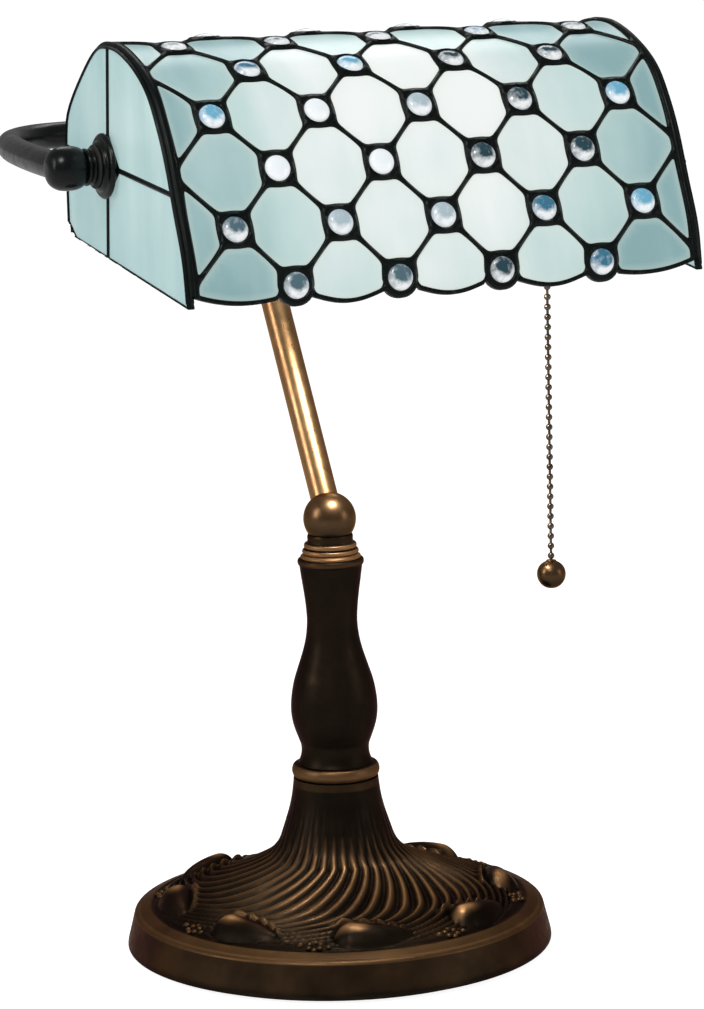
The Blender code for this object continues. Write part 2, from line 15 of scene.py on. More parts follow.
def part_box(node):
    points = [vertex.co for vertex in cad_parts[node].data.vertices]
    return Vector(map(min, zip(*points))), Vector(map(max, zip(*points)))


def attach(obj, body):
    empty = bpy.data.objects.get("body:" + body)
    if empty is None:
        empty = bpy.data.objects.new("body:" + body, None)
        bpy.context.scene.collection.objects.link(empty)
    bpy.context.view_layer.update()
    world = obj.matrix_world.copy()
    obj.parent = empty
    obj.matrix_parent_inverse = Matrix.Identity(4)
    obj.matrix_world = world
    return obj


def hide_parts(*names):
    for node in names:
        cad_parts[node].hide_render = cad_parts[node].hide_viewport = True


MM = 0.001
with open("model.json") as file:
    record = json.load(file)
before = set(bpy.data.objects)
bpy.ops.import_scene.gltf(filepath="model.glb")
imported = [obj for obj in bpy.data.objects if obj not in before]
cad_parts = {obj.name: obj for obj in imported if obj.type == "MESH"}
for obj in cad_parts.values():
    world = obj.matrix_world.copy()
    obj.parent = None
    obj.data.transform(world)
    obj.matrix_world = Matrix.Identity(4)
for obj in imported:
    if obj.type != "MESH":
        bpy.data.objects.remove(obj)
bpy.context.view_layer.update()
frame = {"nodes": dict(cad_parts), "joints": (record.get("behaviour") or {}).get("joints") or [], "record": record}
JOINTS = {joint["name"]: joint for joint in frame["joints"]}
BALL = Vector(JOINTS["stem_swivel"]["pos_m"])
PIVOT = Vector(JOINTS["shade_tilt"]["pos_m"])
SWIVEL = Vector(JOINTS["chain_swing"]["pos_m"])
PULL_LOW, PULL_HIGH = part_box("pull_ball")
HUB = Vector((0, 110 * MM, 379 * MM))
LEAN = (HUB - BALL).normalized()

# The shade, in millimetres
HALF = 118.0
CELL = 48.0
ROW = 25.5
FIRST_ROW = 7.0
GLASS = 2.6
JEWEL_RADIUS = 5.6
BEZEL_CUT = 7.9
LEAD = 2.7
BORDER = 2.4
SHADE_TILT = math.radians(4.8)
OUTLINE = [(-91.6, -53), (-88, -33), (-79.5, -13), (-71, 7), (-62.5, 21.5), (-52, 34.5), (-37, 44),
           (-18, 50.5), (-3, 52), (11, 50), (29, 38.5), (47, 23), (52.5, 11), (53.5, -12), (53.5, -34)]


# --------------------------------------------------------------------------------------- camera and light
def make_camera():
    """A long lens at the front left, a little above the lamp, rolled by about a degree."""
    azimuth, elevation, roll = 0.4099, 0.1804, 0.0236
    back = Vector((-math.sin(azimuth) * math.cos(elevation), -math.cos(azimuth) * math.cos(elevation),
                   math.sin(elevation)))
    right = Vector((math.cos(azimuth), -math.sin(azimuth), 0))
    up = back.cross(right)
    turned_right = math.cos(roll) * right - math.sin(roll) * up
    turned_up = math.sin(roll) * right + math.cos(roll) * up
    camera = bpy.data.objects.new("camera", bpy.data.cameras.new("camera"))
    bpy.context.collection.objects.link(camera)
    camera.data.sensor_width = 36
    camera.data.lens = 141.26
    axes = Matrix((turned_right, turned_up, back)).transposed()
    camera.matrix_world = Matrix.Translation((-0.71042, -1.66142, 0.53956)) @ axes.to_4x4()
    bpy.context.scene.camera = camera


def make_studio():
    """White floor; a key over the camera's left shoulder, a weak fill from the right, a narrow strip on the
    left for the stem's highlight, a soft light from behind and a small lamp under the bulb."""
    def lamp(name, at, size, power, target=(0, 0, 0.2)):
        light = bpy.data.objects.new(name, bpy.data.lights.new(name, "AREA"))
        bpy.context.collection.objects.link(light)
        light.data.shape = "RECTANGLE"
        light.data.size, light.data.size_y = size
        light.data.energy = power
        light.location = at
        light.rotation_euler = (Vector(target) - light.location).to_track_quat("-Z", "Y").to_euler()
        return light

    lamp("key", (-0.85, -0.9, 1.65), (0.45, 0.45), 12)
    lamp("fill", (1.3, -1.2, 0.6), (0.5, 0.8), 2.5)
    left_strip = lamp("left_strip", (-1.45, 0.02, 0.85), (0.35, 0.9), 0.6, (0, 0.05, 0.30))
    left_strip.data.spread = math.radians(50)
    lamp("behind", (0.45, 1.15, 1.5), (1.1, 0.5), 5, (0, 0, 0.02))
    bulb_light = lamp("bulb_light", (0.008, -0.055, 0.342), (0.05, 0.05), 0.35, (0.008, -0.055, 0))
    bulb_light.visible_camera = False
    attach(bulb_light, "head")
    floor = bpy.data.objects.new("floor", bpy.data.meshes.new("floor"))
    bpy.context.collection.objects.link(floor)
    reach = 12
    corners = [(-reach, -reach, 0), (reach, -reach, 0), (reach, reach, 0), (-reach, reach, 0)]
    floor.data.from_pydata(corners, [], [(0, 1, 2, 3)])
    sweep = Look("floor_white")
    seen = sweep.add("LightPath", {}).outputs["Is Camera Ray"]
    sweep.set(Base_Color=(0.6, 0.6, 0.6), Roughness=0.9, Emission_Color=(1.0, 1.0, 1.0),
              Emission_Strength=sweep.spread(seen, 0, 1, 0.3, 0.92))
    floor.data.materials.append(sweep.material)
    world = bpy.data.worlds.new("studio")
    bpy.context.scene.world = world
    world.use_nodes = True
    world.node_tree.nodes["Background"].inputs["Color"].default_value = (1, 1, 1, 1)
    world.node_tree.nodes["Background"].inputs["Strength"].default_value = 0.22
    bpy.context.scene.view_settings.view_transform = "Standard"


# -------------------------------------------------------------------------------------------- materials
class Look:
    """A short way to write a material's nodes."""

    def __init__(self, name):
        self.material = bpy.data.materials.new(name)
        self.material.use_nodes = True
        self.tree = self.material.node_tree
        self.shader = self.tree.nodes["Principled BSDF"]

    def put(self, socket, value):
        if isinstance(value, bpy.types.NodeSocket):
            self.tree.links.new(value, socket)
        elif isinstance(value, tuple) and len(value) == 3 and socket.type == "RGBA":
            socket.default_value = (*value, 1)
        else:
            socket.default_value = value

    def add(self, kind, inputs, **settings):
        node = self.tree.nodes.new("ShaderNode" + kind)
        for key, value in settings.items():
            setattr(node, key, value)
        for key, value in inputs.items():
            self.put(node.inputs[key], value)
        return node

    def noise(self, scale, stretch=(1, 1, 1), detail=3.0):
        """Noise in the piece's own coordinates, from 0 to 1."""
        place = self.tree.nodes.new("ShaderNodeTexCoord").outputs["Object"]
        scaled = self.add("Mapping", {"Vector": place, "Scale": stretch}).outputs["Vector"]
        return self.add("TexNoise", {"Vector": scaled, "Scale": scale, "Detail": detail}).outputs["Fac"]

    def read(self, name):
        """A number stored on the mesh."""
        return self.add("Attribute", {}, attribute_name=name).outputs["Fac"]

    def spread(self, value, low, high, to_low=0.0, to_high=1.0):
        return self.add("MapRange", {"Value": value, "From Min": low, "From Max": high, "To Min": to_low,
                                     "To Max": to_high}).outputs["Result"]

    def times(self, a, b):
        node = self.add("Math", {}, operation="MULTIPLY")
        self.put(node.inputs[0], a)
        self.put(node.inputs[1], b)
        return node.outputs[0]

    def plus(self, a, b):
        node = self.add("Math", {}, operation="ADD")
        self.put(node.inputs[0], a)
        self.put(node.inputs[1], b)
        return node.outputs[0]

    def mix(self, factor, a, b):
        node = self.add("Mix", {}, data_type="RGBA")
        self.put(node.inputs[0], factor)
        self.put(node.inputs[6], a)
        self.put(node.inputs[7], b)
        return node.outputs[2]

    def bump(self, height, distance, strength=1.0):
        inputs = {"Height": height, "Distance": distance, "Strength": strength}
        return self.add("Bump", inputs).outputs["Normal"]

    def set(self, **values):
        for key, value in values.items():
            self.put(self.shader.inputs[key.replace("_", " ")], value)
        return self.material


def dark_bronze():
    """Brown-black antique finish, turned warm bronze where the mesh says so: partly wear on raised relief, partly
    painted highlight and sheen.
    """
    look = Look("dark_bronze")
    patches = look.spread(look.noise(38, detail=5), 0.35, 0.7)
    ground = look.mix(patches, (0.0105, 0.0078, 0.0055), (0.022, 0.0145, 0.0090))
    worn = look.plus(look.read("rub"), look.spread(look.noise(45), 0.3, 0.7, -0.04, 0.04))
    rubbed = look.spread(worn, 0.03, 1.0)
    colour = look.mix(rubbed, ground, (0.40, 0.207, 0.090))
    rough = look.spread(look.noise(210, detail=4), 0.3, 0.7, 0.34, 0.5)
    return look.set(Base_Color=colour, Metallic=0.8, Roughness=rough, Specular_IOR_Level=0.15,
                    Specular_Tint=(0.50, 0.33, 0.22),
                    Normal=look.bump(look.noise(900, detail=2), 0.00004, 0.5))


def copper_bronze():
    """Satin copper bronze, slightly streaked along the tube, and darkened by the mesh's shade number as painted
    shade.
    """
    look = Look("copper_bronze")
    streaks = look.spread(look.noise(60, (1, 1, 0.2), 4), 0.3, 0.7)
    colour = look.mix(streaks, (0.41, 0.215, 0.095), (0.50, 0.275, 0.13))
    # Painted shade: mixed towards dark brown where the mesh's shade number is high, on the lower parts of round
    # pieces.
    colour = look.mix(look.read("shade"), colour, (0.035, 0.022, 0.014))
    rough = look.spread(look.noise(260, detail=3), 0.3, 0.7, 0.27, 0.37)
    return look.set(Base_Color=colour, Metallic=1.0, Roughness=rough, Specular_Tint=(0.8, 0.6, 0.45),
                    Normal=look.bump(look.noise(1200, detail=2), 0.00003, 0.4))


def black_bronze():
    """Green-black lacquered bronze."""
    look = Look("black_bronze")
    patches = look.spread(look.noise(70, detail=4), 0.35, 0.7)
    colour = look.mix(patches, (0.002, 0.003, 0.003), (0.006, 0.008, 0.006))
    rough = look.spread(look.noise(180, detail=3), 0.3, 0.7, 0.2, 0.34)
    return look.set(Base_Color=colour, Metallic=0.1, Roughness=rough, Specular_IOR_Level=0.25,
                    Normal=look.bump(look.noise(700, detail=2), 0.00003, 0.4))


def lead():
    """Black patina over hand-run solder."""
    look = Look("lead")
    patches = look.spread(look.noise(120, detail=4), 0.4, 0.75)
    colour = look.mix(patches, (0.0012, 0.0035, 0.003), (0.004, 0.008, 0.007))
    rough = look.spread(look.noise(260, detail=3), 0.3, 0.7, 0.32, 0.52)
    return look.set(Base_Color=colour, Metallic=0.0, Roughness=rough, Specular_IOR_Level=0.16,
                    Normal=look.bump(look.noise(420, detail=3), 0.00012, 0.6))


def opal_glass(name, stretch):
    """Opalescent aqua glass: cloudy, faintly streaked, and glowing where the bulb is near."""
    look = Look(name)
    glow = look.read("glow")
    cloud = look.spread(look.noise(14, detail=4), 0.3, 0.7, -0.10, 0.10)
    streak = look.spread(look.noise(30, stretch, 5), 0.3, 0.7, -0.14, 0.14)
    level = look.plus(look.plus(glow, cloud), streak)
    dim = look.mix(look.spread(level, 0.0, 0.5), (0.25, 0.42, 0.44), (0.56, 0.735, 0.72))
    colour = look.mix(look.spread(level, 0.5, 1.0), dim, (0.97, 1.0, 0.985))
    colour = look.mix(look.times(look.read("edge"), 0.30), colour, (0.80, 0.85, 0.72))
    look.set(Base_Color=look.mix(0.6, colour, (0.1, 0.14, 0.14)), Roughness=0.25, Specular_IOR_Level=0.2)
    return look.set(Emission_Color=colour, Emission_Strength=0.6,
                    Normal=look.bump(look.noise(55, stretch, 2), 0.0006, 0.2))


def jewel_glass():
    """Pressed glass cabochons: a tinted middle and a pale rim, brightest on its lower side as a painted crescent
    of light, with a painted glow.
    """
    look = Look("jewel_glass")
    tint = look.add("Attribute", {}, attribute_name="tint").outputs["Color"]
    pale = look.mix(0.92, tint, (0.97, 0.99, 1.0))
    swirl = look.spread(look.noise(420, detail=3), 0.35, 0.7, -0.25, 0.25)
    # Painted light: the rim number whitens each jewel's edge, most on its lower side.
    colour = look.mix(look.spread(look.plus(look.read("rim"), swirl), 0.05, 0.95), tint, pale)
    look.set(Base_Color=look.mix(0.5, colour, (0.03, 0.05, 0.06)), Roughness=0.08, Specular_IOR_Level=0.3,
             Coat_Weight=0.35, Coat_Roughness=0.02)
    # Painted glow, as if the bulb lit the jewels from behind.
    return look.set(Emission_Color=colour, Emission_Strength=0.62,
                    Normal=look.bump(look.noise(240, detail=2), 0.0004, 0.3))


def plain(name, dark, light, metallic, rough, scale=120, grain=0.00004, emission=0.0):
    """A material of two close colours in soft patches, with a fine grain."""
    look = Look(name)
    patches = look.spread(look.noise(scale, detail=4), 0.3, 0.7)
    look.set(Base_Color=look.mix(patches, dark, light), Metallic=metallic,
             Roughness=look.spread(look.noise(scale * 2), 0.3, 0.7, rough[0], rough[1]),
             Normal=look.bump(look.noise(scale * 7, detail=2), grain, 0.5))
    if emission:
        look.set(Emission_Color=(1.0, 0.93, 0.8), Emission_Strength=emission)
    return look.material


def make_materials():
    return {
        "dark_bronze": dark_bronze(), "copper_bronze": copper_bronze(), "black_bronze": black_bronze(),
        "lead": lead(), "aqua_glass": opal_glass("aqua_glass", (1, 0.25, 0.25)),
        "end_glass": opal_glass("end_glass", (1, 1, 0.12)), "jewel": jewel_glass(),
        "brass": plain("brass", (0.46, 0.31, 0.125), (0.52, 0.36, 0.155), 1.0, (0.28, 0.38)),
        "chain_brass": plain("chain_brass", (0.09, 0.065, 0.048), (0.19, 0.14, 0.10), 1.0, (0.22, 0.34)),
        "steel": plain("steel", (0.35, 0.35, 0.34), (0.5, 0.5, 0.5), 1.0, (0.3, 0.45)),
        "cast_iron": plain("cast_iron", (0.03, 0.03, 0.03), (0.07, 0.065, 0.06), 0.6, (0.6, 0.8), 90, 0.0003),
        "felt": plain("felt", (0.006, 0.007, 0.007), (0.016, 0.018, 0.018), 0.0, (0.95, 1.0), 900, 0.0002),
        "rubber": plain("rubber", (0.010, 0.010, 0.010), (0.02, 0.02, 0.02), 0.0, (0.6, 0.75)),
        "phenolic": plain("phenolic", (0.02, 0.012, 0.008), (0.04, 0.025, 0.016), 0.0, (0.35, 0.5)),
        "fibre": plain("fibre", (0.010, 0.009, 0.008), (0.02, 0.017, 0.014), 0.0, (0.7, 0.85), 400, 0.0001),
        "bulb_glass": plain("bulb_glass", (0.85, 0.83, 0.76), (0.93, 0.91, 0.84), 0.0, (0.25, 0.35),
                            emission=0.35),
    }


# ---------------------------------------------------------------------------------------- mesh helpers
def clamp(value):
    return min(1.0, max(0.0, value))


def piece(name, bm, look, body, node=None, smooth=50, at=(0, 0, 0), turn=None):
    """Finish a mesh as a piece that rides on a body and stands for a CAD node."""
    bmesh.ops.recalc_face_normals(bm, faces=bm.faces)
    mesh = bpy.data.meshes.new(name)
    bm.to_mesh(mesh)
    bm.free()
    mesh.transform(Matrix.Translation(at) @ (turn.to_matrix().to_4x4() if turn else Matrix.Identity(4)))
    mesh.shade_smooth()
    mesh.set_sharp_from_angle(angle=math.radians(smooth))
    mesh.materials.append(LOOKS[look])
    made = bpy.data.objects.new(name, mesh)
    bpy.context.collection.objects.link(made)
    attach(made, body)
    if node:
        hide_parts(node)
    return made


def skin(bm, rings, close_loop):
    """Join rings of vertices with quads; a ring of one vertex is a pole."""
    pairs = list(zip(rings, rings[1:]))
    if close_loop:
        pairs.append((rings[-1], rings[0]))
    for a, b in pairs:
        count = max(len(a), len(b))
        for i in range(count):
            j = (i + 1) % count
            if len(a) == 1:
                bm.faces.new((a[0], b[j], b[i]))
            elif len(b) == 1:
                bm.faces.new((a[i], a[j], b[0]))
            else:
                bm.faces.new((a[i], a[j], b[j], b[i]))


def turned(outline, segments=64):
    """Solid of revolution about Z from (radius, height) in millimetres, as in the CAD model."""
    bm = bmesh.new()
    rings = []
    for radius, height in outline:
        if radius == 0:
            rings.append([bm.verts.new((0, 0, height * MM))])
            continue
        ring = []
        for k in range(segments):
            angle = math.tau * k / segments
            spot = Vector((radius * math.cos(angle), radius * math.sin(angle), height)) * MM
            ring.append(bm.verts.new(spot))
        rings.append(ring)
    skin(bm, rings, close_loop=outline[0][0] > 0)
    return bm


def curve_through(points, steps):
    """Points on a Catmull-Rom curve through the given ones."""
    points = [Vector(p) for p in points]
    ends = [2 * points[0] - points[1], *points, 2 * points[-1] - points[-2]]
    found = []
    for a, b, c, d in zip(ends, ends[1:], ends[2:], ends[3:]):
        for k in range(steps):
            t = k / steps
            found.append(0.5 * (2 * b + (c - a) * t + (2 * a - 5 * b + 4 * c - d) * t ** 2
                                + (3 * b - a - 3 * c + d) * t ** 3))
    return found + [points[-1]]


def softened(outline, steps=5):
    """A turned outline with its stretches between sharp corners drawn as smooth curves.

    The outline is a list of runs; each run is curved by itself, and runs meet at sharp corners."""
    found = []
    for run in outline:
        points = [tuple(p) for p in (curve_through(run, steps) if len(run) > 2 else run)]
        found += points if not found or points[0] != found[-1] else points[1:]
    return found


def bead(radius, middle, squash=1.0, steps=12):
    """Outline of a ball on the axis, bottom to top, in millimetres."""
    return [(radius * math.sin(math.pi * k / steps) if 0 < k < steps else 0,
             middle - squash * radius * math.cos(math.pi * k / steps)) for k in range(steps + 1)]


def swept(points, radius, segments=16, hollow=0.0):
    """Round bar, or a pipe where hollow gives its bore, along a path in metres."""
    bm = bmesh.new()
    shells = []
    for reach in ((radius, hollow) if hollow else (radius,)):
        side = Vector((0, 0, 1))
        if abs((points[1] - points[0]).normalized().z) > 0.9:
            side = Vector((1, 0, 0))
        rings = []
        for k, point in enumerate(points):
            ahead = (points[min(k + 1, len(points) - 1)] - points[max(k - 1, 0)]).normalized()
            side = (side - ahead * side.dot(ahead)).normalized()
            cross = ahead.cross(side)
            rings.append([bm.verts.new(point + reach * (math.cos(math.tau * i / segments) * side
                                                        + math.sin(math.tau * i / segments) * cross))
                          for i in range(segments)])
        shells.append(rings)
    if hollow:
        skin(bm, shells[0] + shells[1][::-1], close_loop=True)
    else:
        skin(bm, shells[0], close_loop=False)
        bm.faces.new(shells[0][0])
        bm.faces.new(shells[0][-1])
    return bm


def store(mesh, name, values):
    """Keep a number or a colour for each vertex, for the materials to read."""
    if isinstance(values[0], (tuple, list)):
        layer = mesh.attributes.new(name, "FLOAT_COLOR", "POINT")
        layer.data.foreach_set("color", [v for value in values for v in (*value, 1)])
    else:
        layer = mesh.attributes.new(name, "FLOAT", "POINT")
        layer.data.foreach_set("value", values)


# ------------------------------------------------------------------------------------------------ base
PODS = 8
FLUTES = 40
HEADS = math.radians(26)                # where the first pod has its round head; tails run counter-clockwise
LIT_SIDE = math.radians(-100)              # the side toward the lights, painted brighter as a highlight
POD_CENTRE = 77.5
POD_LENGTH = 28.0
POD_WIDTH = 8.0                         # half of its width, at the head
POD_HEIGHT = 6.0
LIP_HEIGHT = 2.2
CONE = 20.3                             # radius where the cone below the collar ends and the flutes begin
FLUTES_END = 84.5
GROOVE = 87.0                           # a groove runs round just inside the outer ring
RING = 88.0


def base_form(radius, angle):
    """Relief of the base's top in millimetres, and its wear and painted highlight, at a radius and an angle."""
    pitch = math.tau / PODS
    u = (((angle - HEADS) / pitch + 0.3) % 1 - 0.3) * pitch * POD_CENTRE    # along the pod from its head
    share = clamp(u / POD_LENGTH)
    taper = (1 - share ** 2) ** 0.6
    half = POD_WIDTH * taper
    centre = POD_CENTRE + 0.06 * u
    q = math.hypot((radius - centre) / half, min(u, 0) / POD_WIDTH) if share < 1 else 2.0
    inner = centre - radius - half                                      # how far inside the pod's inner edge
    swirl = 0.75 * max(0.0, radius - 33) + 0.055 * max(0.0, radius - 58) ** 2
    crest = abs(math.cos(FLUTES / 2 * (angle + math.radians(swirl))))
    depth = 0.7 + 2.0 * clamp((radius - 24) / 22)
    fade = clamp((radius - CONE) / 3) * clamp((FLUTES_END - radius) / 3)
    lift = (crest - 0.65) * depth * fade
    # Flute crests are worn bright, and painted brighter still as a highlight towards the front and on the inner
    # flutes.
    outer = (1 - 0.7 * clamp((radius - 44) / 28)) * (0.6 + 0.4 * math.cos(angle - LIT_SIDE))
    rub = (0.01 + 0.56 * crest ** 5) * outer * fade * clamp((radius - 24) / 9)
    lip = math.exp(-((inner - 1.8) / 1.5) ** 2) * clamp((u + 12) / 6) * (1 - share ** 3) ** 0.5
    lift += LIP_HEIGHT * lip
    rub = max(rub, 0.30 * lip)
    if q < 1:
        lift = POD_HEIGHT * taper * (1 - q ** 2) ** 0.75 - 0.3
        # Painted highlight: a bright patch on the top of each pod's head; the rest of the pod stays dark.
        painted_highlight = math.exp(-((u + 0.5) / 5.5) ** 2 - ((radius - centre + 0.4) / 2.6) ** 2)
        rub = 0.04 * math.exp(-((radius - centre) / 3.5) ** 2) + 1.4 * painted_highlight
    elif q < 1.12:
        lift = min(lift, -0.5)
        rub = 0.0
    lift -= 0.9 * math.exp(-((radius - GROOVE) / 1.1) ** 2)
    # The outer ring gets an even painted sheen.
    ring = clamp((radius - RING) / 1.5)
    return lift * (1 - ring), max(rub * (1 - ring), 0.205 * ring)


def make_base():
    wall = [(98.9, 2.0), (99.8, 2.4), (100, 3.4), (99.6, 5.6), (98.0, 12), (96.9, 16.4), (96.4, 18.0),
            (95.4, 18.9), (94, 19.3)]
    dome = [(94, 19.3), (91, 20.6), (88.5, 21.5), (86.5, 22.2), (84, 22.9), (80, 24.1), (76, 25.3),
            (72, 26.6), (69, 27.5), (66, 28.4), (61, 30.2), (56, 32), (51, 34), (46, 36.3), (42, 38.3),
            (38, 40.5), (34, 43), (31, 45.5), (28.6, 48.5), (27, 51.5), (25.6, 55.5), (24, 60.5), (22.6, 65),
            (21.2, 71), (20.3, 77), (19.9, 81)]
    outline = softened([wall, dome], 5)
    outline += [(5.4, 81), (5.4, 60), (14, 60), (22, 40), (38, 27), (60, 18), (91, 14.2), (91, 2.0)]
    outside = outline.index((5.4, 81))
    segments = 480
    bm = bmesh.new()
    rings, wear_and_highlights = [], []
    for index, (radius, height) in enumerate(outline):
        ring = []
        for k in range(segments):
            angle = math.tau * k / segments
            # Painted shadow: surfaces grow darker from 6 mm down to 3 mm above the floor and stay dark below.
            lift, rub = 0.0, 0.09 * clamp((height - 3) / 3)
            if index < outside and 20.2 < radius < 94 and height > 19:
                lift, rub = base_form(radius, angle)
            # Painted sheen along the top of the outer wall.
            elif index < outside and radius > 90 and height > 17.4:
                rub = 0.28
            ring.append(bm.verts.new((radius * math.cos(angle) * MM, radius * math.sin(angle) * MM,
                                      (height + lift) * MM)))
            wear_and_highlights.append(rub)
        rings.append(ring)
    skin(bm, rings, close_loop=True)
    base = piece("base", bm, "dark_bronze", "stand", "base_casting", smooth=60)
    store(base.data, "rub", wear_and_highlights)
    make_flowers()
    piece("felt_pad", turned([(0, 0), (93.4, 0), (94, 0.5), (94, 1.4), (93.4, 1.7), (0, 1.7)], 96), "felt",
          "stand", "base_felt")


def make_flowers():
    """Cast beads in front of each pod's head: an eyelet of six, and one on either side of it."""
    bm = bmesh.new()
    spots = [(84.0 + p.x, p.y, 1.5) for p in circle(Vector((0, 0)), 2.9, 6)]
    spots += [(83.4, -6.6, 1.9), (84.6, 6.4, 1.6)]
    for k in range(PODS):
        angle = HEADS - math.radians(12) + math.tau * k / PODS
        outwards = Vector((math.cos(angle), math.sin(angle), 0))
        along = Vector((-outwards.y, outwards.x, 0))
        for reach, aside, radius in spots:
            at = outwards * reach + along * aside + Vector((0, 0, 22.4 + 0.3 * (84 - reach)))
            place = Matrix.Translation(at * MM) @ Matrix.Diagonal((1, 1, 0.85, 1))
            bmesh.ops.create_icosphere(bm, subdivisions=3, radius=radius * MM, matrix=place)
    flowers = piece("base_beads", bm, "dark_bronze", "stand", None)
    # Painted highlight: each bead is brighter where it faces upwards.
    store(flowers.data, "rub", [0.06 + 0.26 * max(0.0, v.normal.z) ** 2 for v in flowers.data.vertices])


def make_column():
    ring = softened([[(5.4, 81.3), (18.4, 81.3)],
                     [(18.4, 81.3), (19.9, 82.1), (20.6, 84.4), (19.9, 86.8), (18.4, 87.6)],
                     [(18.4, 87.6), (5.4, 87.6)]], 6)
    collar = piece("collar_ring", turned(ring), "dark_bronze", "stand", "base_collar")
    # Bright on its outer bulge: wear and a painted highlight.
    store(collar.data, "rub", [0.38 if v.co.xy.length > 19.2 * MM else 0.06 for v in collar.data.vertices])
    vase = [(17.6, 87.9), (16.6, 90), (15.9, 93), (16.0, 96.5), (17.2, 100), (18.8, 104.5), (19.9, 109),
            (20.3, 114), (19.9, 120), (18.6, 127), (16.4, 134), (14, 141.5), (12.5, 148), (11.8, 155),
            (12.1, 162), (12.9, 169), (13.9, 176), (14.7, 182.0)]
    rim = [(14.7, 182.0), (15.3, 182.7), (15.5, 183.8), (15.3, 184.8), (14.7, 185.3)]
    shaft = softened([[(5.4, 87.9), (17.6, 87.9)], vase, rim, [(14.7, 185.3), (5.4, 185.3)]], 6)
    column = piece("turned_column", turned(shaft), "dark_bronze", "stand", "column")
    # A bright band on the lip at the column's top: wear and a painted highlight.
    store(column.data, "rub", [0.22 * max(0.0, 1 - abs(v.co.z / MM - 183.8) / 1.8)
                               for v in column.data.vertices])
    top = BALL.z / MM
    seat = [(r, top - math.sqrt(12.7 ** 2 - r ** 2)) for r in (10.4, 9.2, 8, 6.7, 5.4)]
    rings = softened([[(5.4, 185.6), (14.0, 185.6)],
                      [(14.0, 185.6), (14.0, 186.5), (13.0, 187.2), (12.5, 187.5)],
                      [(12.5, 187.5), (13.1, 188.1), (13.2, 188.9), (12.8, 189.6), (11.7, 190.0)],
                      [(11.7, 190.0), (12.2, 190.7), (12.3, 191.6), (11.9, 192.4), (10.8, 192.8)],
                      [(10.8, 192.8), (10.6, 194.2), (10.7, 195.4), seat[0]], seat], 4)
    neck = piece("neck_rings", turned(rings), "dark_bronze", "stand", "neck_collar")
    # The ring crests are bright and their sides dark: wear and painted highlights.
    crests = [v.co.xy.length > (11.9 if v.co.z > 190.4 * MM else 12.6) * MM for v in neck.data.vertices]
    store(neck.data, "rub", [0.78 if crest else 0.09 for crest in crests])
    bushing = [(3.0, 91.4), (4.4, 91.4), (4.4, 100.4), (5.4, 100.4), (5.8, 100.8), (5.8, 101.5), (5.3, 102),
               (3.3, 102), (3.0, 101.7)]
    piece("gland", turned(bushing, 32), "rubber", "stand", "cord_bushing", at=(0, 0, 8.5 * MM),
          turn=Vector((0, 1, 0)).to_track_quat("Z", "Y"))


# -------------------------------------------------------------------------------------- stem and yoke
def make_stem():
    aim = LEAN.to_track_quat("Z", "Y")
    ball = piece("stem_ball", turned(bead(12.3, 0, 1, 32)), "copper_bronze", "head", "knuckle_ball",
                 at=BALL)
    # Painted shade: the ball is dark overall and darker still over its lower part.
    store(ball.data, "shade", [0.48 + 0.46 * clamp((BALL.z + 8 * MM - v.co.z) / (12 * MM))
                               for v in ball.data.vertices])
    length = (HUB - BALL).length / MM
    tube = [(5.2, 3.4), (6.2, 3.4), (6.5, 3.8), *[(6.5, 4 + (length - 12.4) * k / 24) for k in range(25)],
            (6.2, length - 8), (5.2, length - 8)]
    stem = piece("stem", turned(tube, 48), "copper_bronze", "head", "stem_tube", at=BALL,
                 turn=aim)
    store(stem.data, "shade", [0.0] * len(stem.data.vertices))
    barrel = softened([[(6.5, -15), (8.2, -15)], [(8.2, -15), (9.3, -14.6), (9.6, -13.6)],
                       [(9.6, -13.6), (9.6, 13.6)],
                       [(9.6, 13.6), (9.3, 14.6), (8.2, 15)], [(8.2, 15), (6.5, 15)]], 4)
    piece("hub_barrel", turned(barrel, 48), "black_bronze", "head", "yoke_hub", at=HUB,
          turn=Vector((1, 0, 0)).to_track_quat("Z", "Y"))
    boss = softened([[(6.8, -20), (8.2, -20)], [(8.2, -20), (8.8, -19.7), (9.0, -19)],
                     [(9.0, -19), (9.0, -7)],
                     [(9.0, -7), (6.8, -7)]], 4)
    piece("hub_socket", turned(boss, 48), "black_bronze", "head", "yoke_hub", at=HUB,
          turn=aim)


def make_yoke():
    half = [(139.5, -42.4, 378.5), (139, -20, 378.6), (135, 20, 378.7), (128.5, 58, 378.8),
            (118, 85.5, 378.9), (100, 103.5, 379), (76, 110, 379)]
    right = [Vector(p) * MM for p in half]
    left = [Vector((-p.x, p.y, p.z)) for p in right]
    path = curve_through(right, 8)[:-1] + curve_through([right[-1], left[-1]], 16)[:-1]
    path += curve_through(left[::-1], 8)
    tube = swept(path, 6.2 * MM, 32, hollow=4.4 * MM)
    piece("yoke", tube, "black_bronze", "head", "yoke_tube")


